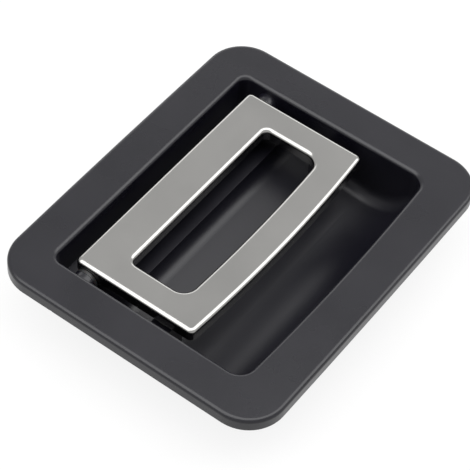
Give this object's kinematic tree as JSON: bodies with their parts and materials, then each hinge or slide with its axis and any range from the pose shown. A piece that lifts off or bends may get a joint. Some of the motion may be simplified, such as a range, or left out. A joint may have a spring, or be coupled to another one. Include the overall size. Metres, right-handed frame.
{
  "type": "recessed pull handle",
  "caption": "Recessed pull handle: black rectangular flanged pan with a finger groove and a hinged, sprung chrome pull frame with a long finger slot, for mounting in a panel.",
  "frame": {"origin": "centre of the four mounting studs, on the plane where the gasket meets the panel", "axes": "+X along the handle's length, +Y from the finger groove towards the hinge, +Z out of the panel"},
  "size_m": [0.12, 0.097, 0.0232],
  "materials": {
    "housing_black": "satin black powder coat on die-cast zinc",
    "pull_chrome": "satin pearl chrome plate",
    "pin_steel": "bright drawn steel",
    "clip_steel": "blackened spring steel",
    "spring_steel": "drawn spring wire",
    "washer_nylon": "black nylon",
    "buffer_rubber": "matt moulded rubber",
    "gasket_rubber": "matt die-cut foam rubber",
    "fixing_zinc": "bright zinc plate"
  },
  "bodies": {
    "base": {"hinge_pin": "pin_steel", "housing": "housing_black", "mounting_stud_front_left": "fixing_zinc", "mounting_stud_front_right": "fixing_zinc", "mounting_stud_hinge_left": "fixing_zinc", "mounting_stud_hinge_right": "fixing_zinc", "panel_gasket": "gasket_rubber", "pin_clip_left": "clip_steel", "pin_clip_right": "clip_steel", "rest_buffer_left": "buffer_rubber", "rest_buffer_right": "buffer_rubber", "return_spring_left": "spring_steel", "return_spring_right": "spring_steel", "side_washer_left": "washer_nylon", "side_washer_right": "washer_nylon", "stud_nut_front_left": "fixing_zinc", "stud_nut_front_right": "fixing_zinc", "stud_nut_hinge_left": "fixing_zinc", "stud_nut_hinge_right": "fixing_zinc", "stud_washer_front_left": "fixing_zinc", "stud_washer_front_right": "fixing_zinc", "stud_washer_hinge_left": "fixing_zinc", "stud_washer_hinge_right": "fixing_zinc"},
    "pull": {"pull_frame": "pull_chrome"}
  },
  "joints": [
    {"name": "pull_hinge", "type": "hinge", "parent": "base", "child": "pull", "pos_m": [0, 0.0252, -0.0014], "axis": [-1, 0, 0], "range_deg": [0, 90], "stiffness_Nm_per_rad": 0.05, "springref_deg": -57.3, "deforming": ["return_spring_left", "return_spring_right"]}
  ]
}
